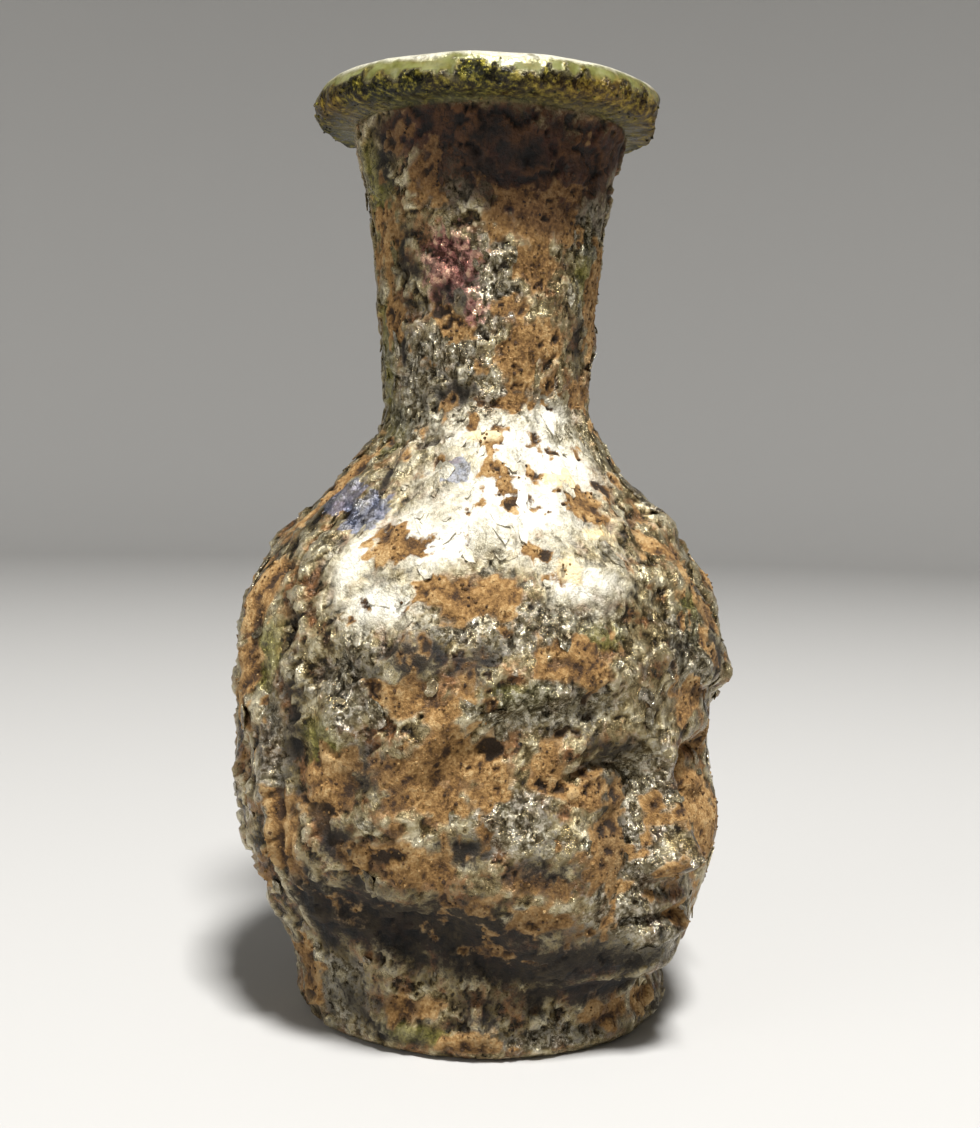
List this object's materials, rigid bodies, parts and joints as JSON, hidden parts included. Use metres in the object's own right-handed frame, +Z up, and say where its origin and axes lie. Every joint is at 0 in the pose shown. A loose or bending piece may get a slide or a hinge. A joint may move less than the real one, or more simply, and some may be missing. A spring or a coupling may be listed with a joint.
{
  "type": "glass perfume flask",
  "caption": "Small hollow mould-blown glass flask in the shape of a head, with a cylindrical neck and a thick flared lip, for perfumed oil.",
  "frame": {"origin": "middle of the flat underside", "axes": "+Z up from the underside to the mouth, -Y the way the face looks"},
  "size_m": [0.0434, 0.0477, 0.082],
  "materials": {
    "weathered_glass": "weathered, with a silvery film and patches of brown earth"
  },
  "bodies": {
    "root": {"flask": "weathered_glass"}
  },
  "joints": []
}
